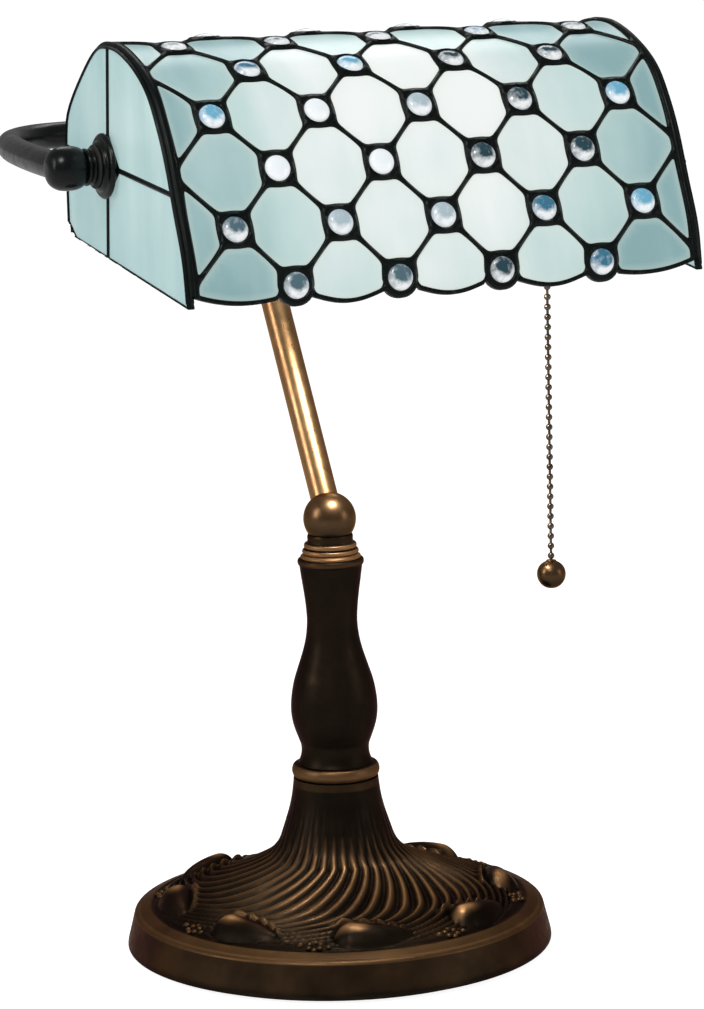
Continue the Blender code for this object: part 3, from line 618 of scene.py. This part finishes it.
def make_pivots():
    cap = softened([[(0, 132.6), (7.2, 132.6)],
                    [(7.2, 132.6), (8.6, 133.8), (9.5, 136.6), (9.75, 140.4), (9.2, 144.2), (7.2, 147.4),
                     (3.8, 149.0), (0, 149.3)]], 6)
    lock = softened([[(5.1, 128.0), (7.0, 128.0)], [(7.0, 128.0), (7.9, 128.4), (8.1, 129.2), (7.3, 130.1)],
                     [(7.3, 130.1), (8.1, 130.8), (8.1, 131.7), (7.3, 132.3)],
                     [(7.3, 132.3), (5.1, 132.3)]], 5)
    rosette = softened([[(5.1, 122.0), (13.6, 122.0)],
                        [(13.6, 122.0), (14.3, 122.6), (14.2, 123.5), (13.2, 124.3), (12.2, 124.5)],
                        [(12.2, 124.5), (11.2, 124.9), (10.6, 125.8), (9.6, 126.4)],
                        [(9.6, 126.4), (5.1, 126.4)]], 5)
    washer = [(5.1, 126.7), (9.3, 126.7), (9.5, 126.9), (9.5, 127.5), (9.3, 127.7), (5.1, 127.7)]
    for side, name in ((-1, "left"), (1, "right")):
        aim = Vector((side, 0, 0)).to_track_quat("Z", "Y")
        for title, outline, body, node, look in (
                ("end_cap", cap, "head", "pivot_cap", "black_bronze"),
                ("ringed_spacer", lock, "head", "lock_ring", "black_bronze"),
                ("thin_washer", washer, "head", "friction_washer", "fibre"),
                ("shade_rosette", rosette, "shade", "rosette", "black_bronze")):
            piece(f"{title}_{name}", turned(outline), look, body, f"{node}_{name}", at=PIVOT, turn=aim)


def make_socket():
    """Lampholder, bulb and bell mouth; heights run towards +X from the middle of the lamp."""
    aim = Vector((1, 0, 0)).to_track_quat("Z", "Y")
    cap = softened([[(16.9, 98.2), (17.3, 99), (16.9, 100.6), (16.0, 103.6), (14.2, 106.6), (11.4, 109),
                     (9.2, 110.6), (8.8, 111.9)], [(8.8, 111.9), (5.1, 111.9)], [(5.1, 111.9), (5.1, 103)],
                    [(5.1, 103), (13, 101), (14, 98.2)]], 4)
    shell = [(15.7, 60), (16.4, 60), (16.7, 60.6), (16.5, 61.4)]
    shell += [(16.5 + 0.35 * (k % 2), 62 + k * 1.1) for k in range(13)]
    shell += [(16.5, 78), (16.5, 96.4), (16.8, 97), (16.4, 97.5), (15.7, 97.5)]
    bulb = softened([[(0, 53.7), (12.4, 53.7)],
                     [(12.4, 53.7), (13.0, 50), (14.6, 44), (18, 37), (23.2, 28), (27.6, 18), (29.8, 7),
                      (29.7, -3), (27, -13), (21.8, -21.2), (14.4, -27), (7, -29.3), (0, -29.9)]], 5)
    screw = [(0, 79.6), (4.5, 79.6), (6, 77)]
    screw += [(12.5 + 0.6 * (k % 2), 75.6 - 1.6 * k) for k in range(13)]
    screw += [(13.1, 54), (0, 54)]
    for name, outline, node, look in (("holder_cap", cap, "socket_cap", "brass"),
                                      ("holder_shell", shell, "socket_shell", "brass"),
                                      ("bulb", bulb, "bulb_glass", "bulb_glass"),
                                      ("bulb_cap", screw, "bulb_base", "steel")):
        piece(name, turned(outline), look, "head", node, at=PIVOT, turn=aim)
    bell = softened([[(2.1, -26), (2.1, -16.9)],
                     [(2.1, -16.9), (3.4, -16.9), (3.5, -19), (3.1, -22), (3.2, -25), (4.0, -27.4),
                      (4.9, -28.6), (4.8, -29.2), (4.2, -29)], [(4.2, -29), (2.1, -26)]], 4)
    piece("chain_guide", turned(bell[:-1], 32), "brass", "head", "bell_mouth",
          at=(SWIVEL.x, PIVOT.y, PIVOT.z))


def make_chain():
    """Ball chain from the swivel bead down to the turned ball, one bead every 4.6 mm."""
    pitch, radius, wire = 4.6, 1.6, 0.5
    top, bottom = 344.6, PULL_HIGH.z / MM + 0.3
    count = int((top - bottom) / pitch) + 1
    step = (top - bottom - 2 * radius) / (count - 1)

    def beads(low, number, spacing):
        outline = []
        for k in range(number):
            ball = bead(radius, low + radius + spacing * k, 1, 8)
            neck = [(max(r, wire), z) for r, z in ball]
            outline += ([ball[0]] if k == 0 else []) + neck[1:-1] + ([ball[-1]] if k == number - 1 else [])
        return outline

    chain = piece("ball_chain", turned(beads(bottom, count, step), 14), "chain_brass", "chain", "pull_chain",
                  at=(SWIVEL.x, SWIVEL.y, 0))
    ball = softened([[(0, -6.7), (2.6, -6.2), (4.9, -4.6), (6.3, -2.2), (6.7, 0.2), (6.2, 2.6), (4.9, 4.5),
                      (3.0, 5.8), (2.2, 6.1)], [(2.2, 6.1), (2.3, 6.5), (1.6, 6.7), (0, 6.7)]], 4)
    middle = (PULL_LOW.z + PULL_HIGH.z) / 2
    knob = piece("pull_knob", turned(ball, 48), "copper_bronze", "chain", "pull_ball",
                 at=(SWIVEL.x, SWIVEL.y, middle))
    # Painted shade: the pull knob grows darker towards its bottom.
    store(knob.data, "shade", [0.68 + 0.3 * clamp((middle + 3 * MM - v.co.z) / (6 * MM))
                               for v in knob.data.vertices])
    piece("stub_beads", turned(beads(348, 4, 4.6), 14), "chain_brass", "pull", "pull_stub",
          at=(SWIVEL.x, SWIVEL.y, 0))
    piece("loose_bead", turned(bead(1.4, 0, 1, 8), 14), "chain_brass", "link", "swivel_bead",
          at=SWIVEL)


# ----------------------------------------------------------------------------------------------- shade
FINE = curve_through(OUTLINE, 16)
REACH = [0.0]
for before, after in zip(FINE, FINE[1:]):
    REACH.append(REACH[-1] + (after - before).length)
TOTAL = REACH[-1]


def on_shade(s, height):
    """Point (y, z) at an arc length and a height above the glass, in millimetres from the pivot."""
    low, high = 0, len(REACH) - 2
    while low < high:
        middle = (low + high + 1) // 2
        if REACH[middle] <= s:
            low = middle
        else:
            high = middle - 1
    t = (s - REACH[low]) / (REACH[low + 1] - REACH[low])
    a, b = FINE[max(low - 1, 0)], FINE[min(low + 2, len(FINE) - 1)]
    along = (b - a).normalized()
    return FINE[low].lerp(FINE[low + 1], t) + Vector((-along.y, along.x)) * height


def clip(loop, point, keep):
    """Cut a polygon along the line through a point, and keep the side that the normal points to."""
    found = []
    for a, b in zip(loop, loop[1:] + loop[:1]):
        da, db = (a - point).dot(keep), (b - point).dot(keep)
        if da >= 0:
            found.append(a)
        if (da > 0) != (db > 0) and abs(da - db) > 1e-9:
            found.append(a.lerp(b, da / (da - db)))
    return found


def area(loop):
    """Signed area of a polygon."""
    return sum(a.cross(b) for a, b in zip(loop, loop[1:] + loop[:1])) / 2


def inside(point, polygon):
    hit = False
    for a, b in zip(polygon, polygon[1:] + polygon[:1]):
        if (a.y > point.y) != (b.y > point.y) and point.x < (b.x - a.x) * (point.y - a.y) / (b.y - a.y) + a.x:
            hit = not hit
    return hit


def resampled(loop, step, bow=lambda length: 0.0):
    """A polygon with points along its edges, which may bow outwards by a distance for each edge."""
    found = []
    if area(loop) < 0:
        loop = loop[::-1]
    for a, b in zip(loop, loop[1:] + loop[:1]):
        length = (b - a).length
        if length < 0.05:
            continue
        out = Vector((b.y - a.y, a.x - b.x)) / length
        count = max(1, round(length / step))
        for k in range(count):
            t = k / count
            found.append(a.lerp(b, t) + out * bow(length) * 4 * t * (1 - t))
    return found


def circle(middle, radius, count=24):
    angles = [math.tau * k / count for k in range(count)]
    return [middle + Vector((radius * math.cos(angle), radius * math.sin(angle))) for angle in angles]


class Fence:
    """A closed outline with its bounds, for quick tests."""

    def __init__(self, loop):
        self.loop = loop
        self.low = Vector((min(p.x for p in loop), min(p.y for p in loop)))
        self.high = Vector((max(p.x for p in loop), max(p.y for p in loop)))

    def near(self, point, slack=0.0):
        return (self.low.x - slack <= point.x <= self.high.x + slack
                and self.low.y - slack <= point.y <= self.high.y + slack)

    def has(self, point):
        return self.near(point) and inside(point, self.loop)

    def gap(self, point):
        return min((point - corner).length for corner in self.loop)


def plate(bm, border, holes, ridge, low, high, place):
    """Add a closed plate with holes, and give back the flat place of each vertex made.

    Its two faces lie at the heights that low(p, edge) and high(p, edge) give, where edge says whether the
    point is on a rim, and place(x, y, height) bends it into space, in millimetres."""
    points, edges = [], []
    for fence in [border, *holes]:
        first = len(points)
        points += fence.loop
        edges += [(first + k, first + (k + 1) % len(fence.loop)) for k in range(len(fence.loop))]
    rim_count = len(points)
    verts, _, faces, origin, *_ = geometry.delaunay_2d_cdt(points + ridge, edges, [], 0, 1e-4)
    edge_like = [any(index < rim_count for index in sources) for sources in origin]
    kept = []
    for face in faces:
        middle = (verts[face[0]] + verts[face[1]] + verts[face[2]]) / 3
        if border.has(middle) and not any(hole.has(middle) for hole in holes):
            kept.append(face)
    flats, layers = [], []
    for rule in (low, high):
        layer = {}
        for face in kept:
            for k in face:
                if k not in layer:
                    spot = Vector(place(verts[k].x, verts[k].y, rule(verts[k], edge_like[k])))
                    layer[k] = bm.verts.new(spot * MM)
                    flats.append(verts[k])
        layers.append(layer)
    rim = set()
    for face in kept:
        bm.faces.new([layers[1][k] for k in face])
        bm.faces.new([layers[0][k] for k in reversed(face)])
        rim.update(zip(face, face[1:] + face[:1]))
    for a, b in rim:
        if (b, a) not in rim:
            bm.faces.new((layers[0][a], layers[0][b], layers[1][b], layers[1][a]))
    return flats


def grid(fence, count, margin):
    """Points on a grid inside an outline, kept off its edge by a margin."""
    span = fence.high - fence.low
    found = []
    for i in range(1, count):
        for j in range(1, count):
            p = fence.low + Vector((span.x * i / count, span.y * j / count))
            if fence.has(p) and fence.gap(p) > margin:
                found.append(p)
    return found


def eased(loop, passes=2):
    """Round off a finely stepped outline's corners."""
    for _ in range(passes):
        loop = [(a + 2 * b + c) / 4 for a, b, c in zip(loop[-1:] + loop[:-1], loop, loop[1:] + loop[:1])]
    return loop


def on_wrap(x, s, height):
    y, z = on_shade(s, height)
    return (x, PIVOT.y / MM + y, PIVOT.z / MM + z)


def jewel_rows():
    """Places of the jewels, row by row: four and five by turns."""
    rows = []
    s = FIRST_ROW
    while s < TOTAL - 4:
        count = 4 if len(rows) % 2 == 0 else 5
        rows.append([Vector(((k - (count - 1) / 2) * CELL, s)) for k in range(count)])
        s += ROW
    return rows


def hem(x):
    """Arc length of the scalloped front edge: it bulges below each pane and each bezel."""
    end = 1.5 * CELL + 8.4                                      # where the last bezel of the first row ends
    if abs(x) > end:
        t = min(1.0, (abs(x) - end) / (HALF - end))
        return FIRST_ROW - 5.6 - 7.2 * t * (1 - t) + 3.4 * t ** 2
    span = abs((x + CELL) % CELL - CELL / 2)                    # distance from the first row's nearest jewel
    if span < 8.4:
        return FIRST_ROW - math.sqrt(max(8.6 ** 2 - span ** 2, 4.0)) - 0.2
    return FIRST_ROW - 5.6 - 3.4 * math.sin(math.pi / 2 * (span - 8.4) / (CELL / 2 - 8.4))


def bow_of_pane(length):
    """How far a pane's side bows: its long sides outwards, and the short ones in round the bezels."""
    if length > 13.5:
        return 0.35
    return -0.5 if length > 7 else 0.0


def cells():
    """Openings of the lead net: each is a lozenge whose corners are cut off by the bezels."""
    rows = jewel_rows()
    across = Vector((CELL / 2, ROW)).normalized()
    found = []
    for index in range(-1, len(rows) + 1):
        s = FIRST_ROW + index * ROW
        count = 5 if index % 2 == 0 else 6
        for k in range(count):
            middle = Vector(((k - (count - 1) / 2) * CELL, s))
            reach, side = ROW - LEAD / 2 / across.x, CELL / 2 - LEAD / 2 / across.y
            loop = [middle + Vector(p) for p in ((0, -reach), (side, 0), (0, reach), (-side, 0))]
            for way, span in (((0, 1), ROW), ((0, -1), ROW), ((1, 0), CELL / 2), ((-1, 0), CELL / 2)):
                way = Vector(way)
                jewel = middle + way * span
                row = round((jewel.y - FIRST_ROW) / ROW)
                if 0 <= row < len(rows) and abs(jewel.x) < 2.1 * CELL:
                    loop = clip(loop, middle + way * (span - BEZEL_CUT), -way)
            loop = clip(loop, Vector((HALF - BORDER, 0)), Vector((-1, 0)))
            loop = clip(loop, Vector((-HALF + BORDER, 0)), Vector((1, 0)))
            loop = clip(loop, Vector((0, TOTAL - 2.4)), Vector((0, -1)))
            if len(loop) < 3:
                continue
            loop = resampled(loop, 1.2, bow_of_pane)
            loop = [Vector((p.x, max(p.y, hem(p.x) + 1.9))) for p in loop]
            if abs(area(loop)) > 25 and max(p.y for p in loop) > 4:
                found.append(Fence(eased(loop)))
    return found


def ridge_points(rows, holes):
    """Crest points along the solder lines, the bezels and the side borders."""
    crest = []
    for row in rows:
        for jewel in row:
            crest += circle(jewel, JEWEL_RADIUS + 1.0)
    lines = []
    for index in range(-1, len(rows)):
        s = FIRST_ROW + index * ROW
        count = 4 if index % 2 == 0 else 5
        for k in range(-1, count + 1):
            start = Vector(((k - (count - 1) / 2) * CELL, s))
            for way in (-1, 1):
                lines.append((start, start + Vector((way * CELL / 2, ROW))))
    for a, b in lines:
        length = (b - a).length
        for k in range(1, int(length / 1.7)):
            crest.append(a.lerp(b, k * 1.7 / length))
    for side in (-1, 1):
        crest += [Vector((side * (HALF - 1.3), 1.7 * k + 2)) for k in range(int((TOTAL - 4) / 1.7))]
    crest += [Vector((x, TOTAL - 1.2)) for x in range(-115, 116, 2)]
    crest += [Vector((x, hem(x) + 0.95)) for x in range(-116, 117, 2)]
    kept = []
    for p in crest:
        if abs(p.x) > HALF - 1 or p.y > TOTAL - 1 or p.y < hem(p.x) + 0.8:
            continue
        if not any(hole.near(p, 1) and (hole.has(p) or hole.gap(p) < 0.55) for hole in holes):
            kept.append(p)
    return kept


def glow_at(x, s):
    """How strongly the bulb lights a spot of the wrapped glass: 0 at its ends, 1 in front of the bulb."""
    along = (0.82 if x < 0 else 0.92) * (abs(x) / 105) ** 2.2 * (1 + 0.4 * clamp((s - 90) / 30))
    under = 0.28 * (max(0.0, 90 - s) / 85) ** 2
    over = 0.6 * min(1.5, max(0.0, s - 112) / 26) ** 1.5
    return clamp(1.0 - along - under - over)


def make_wrap():
    rows = jewel_rows()
    jewels = [jewel for row in rows for jewel in row]
    openings = cells()
    seats = [Fence(circle(jewel, JEWEL_RADIUS)) for jewel in jewels]
    front = [Vector((x, hem(x))) for x in [-HALF + 2 * HALF * k / 160 for k in range(161)]]
    side_steps = [Vector((HALF, 1 + 2.0 * k)) for k in range(1, int((TOTAL - 2) / 2.0))]
    back = [Vector((HALF - 2 * HALF * k / 60, TOTAL)) for k in range(61)]
    border = Fence(front + side_steps + back + [Vector((-p.x, p.y)) for p in reversed(side_steps)])
    ridge = ridge_points(rows, openings + seats)

    def outer(p, edge):
        if edge:
            return 0.45
        return 1.75 if any((p - j).length < JEWEL_RADIUS + 1.6 for j in jewels) else 1.35

    def inner(p, edge):
        return -GLASS - (0.3 if edge else 0.85)

    net = bmesh.new()
    plate(net, border, openings + seats, ridge, inner, outer, on_wrap)
    piece("solder_net", net, "lead", "shade", "lead_net", smooth=75)
    glass = bmesh.new()
    glow, edge = [], []
    chance = random.Random(5)
    for opening in openings:
        middle = sum(opening.loop, Vector((0, 0))) / len(opening.loop)
        grown = Fence([p + (p - middle).normalized() * 0.15 for p in opening.loop])
        flats = plate(glass, grown, [], grid(grown, 13, 1.1), lambda p, edge: -GLASS, lambda p, edge: 0.0,
                      on_wrap)
        tone = 0.55 * glow_at(middle.x, middle.y) + chance.uniform(-0.06, 0.08)
        glow += [0.45 * glow_at(p.x, p.y) + tone for p in flats]
        edge += [max(0.0, 1 - grown.gap(p) / 3) for p in flats]
    tiles = piece("shade_glass", glass, "aqua_glass", "shade", "wrap_glass", smooth=40)
    store(tiles.data, "glow", glow)
    store(tiles.data, "edge", edge)
    make_jewels(rows)


TINTS = {"w": (0.88, 0.93, 0.95), "c": (0.42, 0.52, 0.57), "g": (0.07, 0.13, 0.16), "d": (0.01, 0.04, 0.055),
         "b": (0.035, 0.16, 0.26), "s": (0.15, 0.42, 0.60)}
JEWEL_ROWS = ["ggdb", "gccbs", "wwdd", "swcds", "bsdd", "dddbd", "dddd", "ddcbd", "gwds", "cdbsw", "dbcg"]


def make_jewels(rows):
    """Domed glass cabochons in the bezels, each with the tint that its row's letters give it."""
    bm = bmesh.new()
    crescent_light, colours = [], []
    steps, segments = 7, 28
    for jewel, letter in [pair for row, letters in zip(rows, JEWEL_ROWS) for pair in zip(row, letters)]:
        rings = []
        for k in range(steps + 1):
            tilt = math.pi / 2 * k / steps
            reach = (JEWEL_RADIUS + 0.1) * math.cos(tilt)
            height = 0.5 + 2.5 * math.sin(tilt)
            rings.append((reach if k < steps else 0, height))
        rings = [(0, -GLASS - 0.9), (JEWEL_RADIUS * 0.7, -GLASS - 0.8), (JEWEL_RADIUS + 0.1, -GLASS)] + rings
        made = []
        for reach, height in rings:
            ring = []
            for i in range(segments if reach else 1):
                angle = math.tau * i / segments
                flat = jewel + reach * Vector((math.cos(angle), math.sin(angle)))
                ring.append(bm.verts.new(Vector(on_wrap(flat.x, flat.y, height)) * MM))
                # Painted light: a pale crescent round each jewel's edge, strongest on its lower side.
                share = ((flat - jewel) / JEWEL_RADIUS - Vector((0.1, 0.25))).length
                low_side = 0.5 - 0.5 * math.sin(angle - 0.3)
                crescent_light.append(clamp((share - 0.52) / 0.3) * (0.3 + 0.7 * low_side ** 1.2))
                colours.append(TINTS[letter])
            made.append(ring)
        skin(bm, made, close_loop=False)
    jewels = piece("jewels", bm, "jewel", "shade", None, smooth=60)
    store(jewels.data, "rim", crescent_light)
    store(jewels.data, "tint", colours)


def panel_loop(inset, foot):
    """Edge of an end panel, moved in by one distance on its curve and another on its straight lower edges."""
    loop = [on_shade(TOTAL * k / 90, -inset) for k in range(91)]
    front, back, tail = Vector((-91.6, -53)), Vector((44, -36)), Vector((53.5, -29))
    for a, b in ((front, back), (back, tail)):
        lift = Vector((a.y - b.y, b.x - a.x)).normalized()
        loop = clip(loop, a + lift * foot, lift)
    return loop


def quarters(inset, foot, half_lead, boss):
    """The four panes of an end panel, between its edge, its cross and its middle boss."""
    level = Vector((math.cos(SHADE_TILT), math.sin(SHADE_TILT)))
    plumb = Vector((-level.y, level.x))
    panes = {}
    for fore, y_side in (("front", -1), ("back", 1)):
        for rise, z_side in (("upper", 1), ("lower", -1)):
            loop = panel_loop(inset, foot)
            loop = clip(loop, level * y_side * half_lead, level * y_side)
            loop = clip(loop, plumb * z_side * half_lead, plumb * z_side)
            corner = (level * y_side + plumb * z_side).normalized()
            panes[f"{fore}_{rise}"] = Fence(resampled(clip(loop, corner * boss, corner), 2.0))
    return panes


def make_end(side, name):
    start, thick = HALF + 0.3, 3.4
    level = Vector((math.cos(SHADE_TILT), math.sin(SHADE_TILT)))
    plumb = Vector((-level.y, level.x))

    def place(y, z, depth):
        return (side * depth, PIVOT.y / MM + y, PIVOT.z / MM + z)

    border = Fence(resampled(panel_loop(0.2, 0.2), 2.0))
    holes = [*quarters(1.5, 1.1, 1.15, 10.5).values(), Fence(circle(Vector((0, 0)), 5.1))]
    crest = [way * sign * (6.5 + 1.8 * k) for way in (level, plumb) for sign in (-1, 1) for k in range(60)]
    crest += resampled(panel_loop(0.85, 0.65), 1.8)
    crest += circle(Vector((0, 0)), 8.0)
    ridge = []
    for p in crest:
        taken = any(hole.near(p, 1) and (hole.has(p) or hole.gap(p) < 0.5) for hole in holes)
        if border.has(p) and border.gap(p) > 0.3 and not taken:
            ridge.append(p)
    came = bmesh.new()
    plate(came, border, holes, ridge, lambda p, edge: start - (0 if edge else 0.5),
          lambda p, edge: start + thick - (0.7 if edge else 0), place)
    piece(f"end_came_{name}", came, "lead", "shade", f"end_frame_{name}", smooth=75)
    for title, pane in quarters(1.4, 1.0, 1.05, 10.3).items():
        glass = bmesh.new()
        flats = plate(glass, pane, [], grid(pane, 9, 1.2), lambda p, edge: start + 0.4,
                      lambda p, edge: start + thick - 1.0, place)
        made = piece(f"end_pane_{name}_{title}", glass, "end_glass", "shade", f"end_glass_{name}_{title}",
                     smooth=40)
        store(made.data, "glow", [0.29 + 0.08 * max(0.0, 1 - p.length / 60) for p in flats])
        store(made.data, "edge", [0.0] * len(flats))
    first = hem(HALF) + 0.8
    stops = [first + (TOTAL - first) * k / 110 for k in range(111)]
    seam = [Vector(on_wrap(side * (HALF + 0.4), s, 0)) * MM for s in stops]
    piece(f"edge_bead_{name}", swept(seam, 1.6 * MM, 16), "lead", "shade", None, smooth=60)


# ---------------------------------------------------------------------------------------------- build
make_camera()
make_studio()
LOOKS = make_materials()
make_base()
make_column()
make_stem()
make_yoke()
make_pivots()
make_socket()
make_chain()
make_wrap()
for side_sign, side_name in ((-1, "left"), (1, "right")):
    make_end(side_sign, side_name)
for node, node_object in frame["nodes"].items():
    slot_name = next(s["material_slot"] for s in frame["record"]["subparts"] if s["node"] == node)
    for entry in node_object.material_slots:
        entry.material = LOOKS[slot_name]
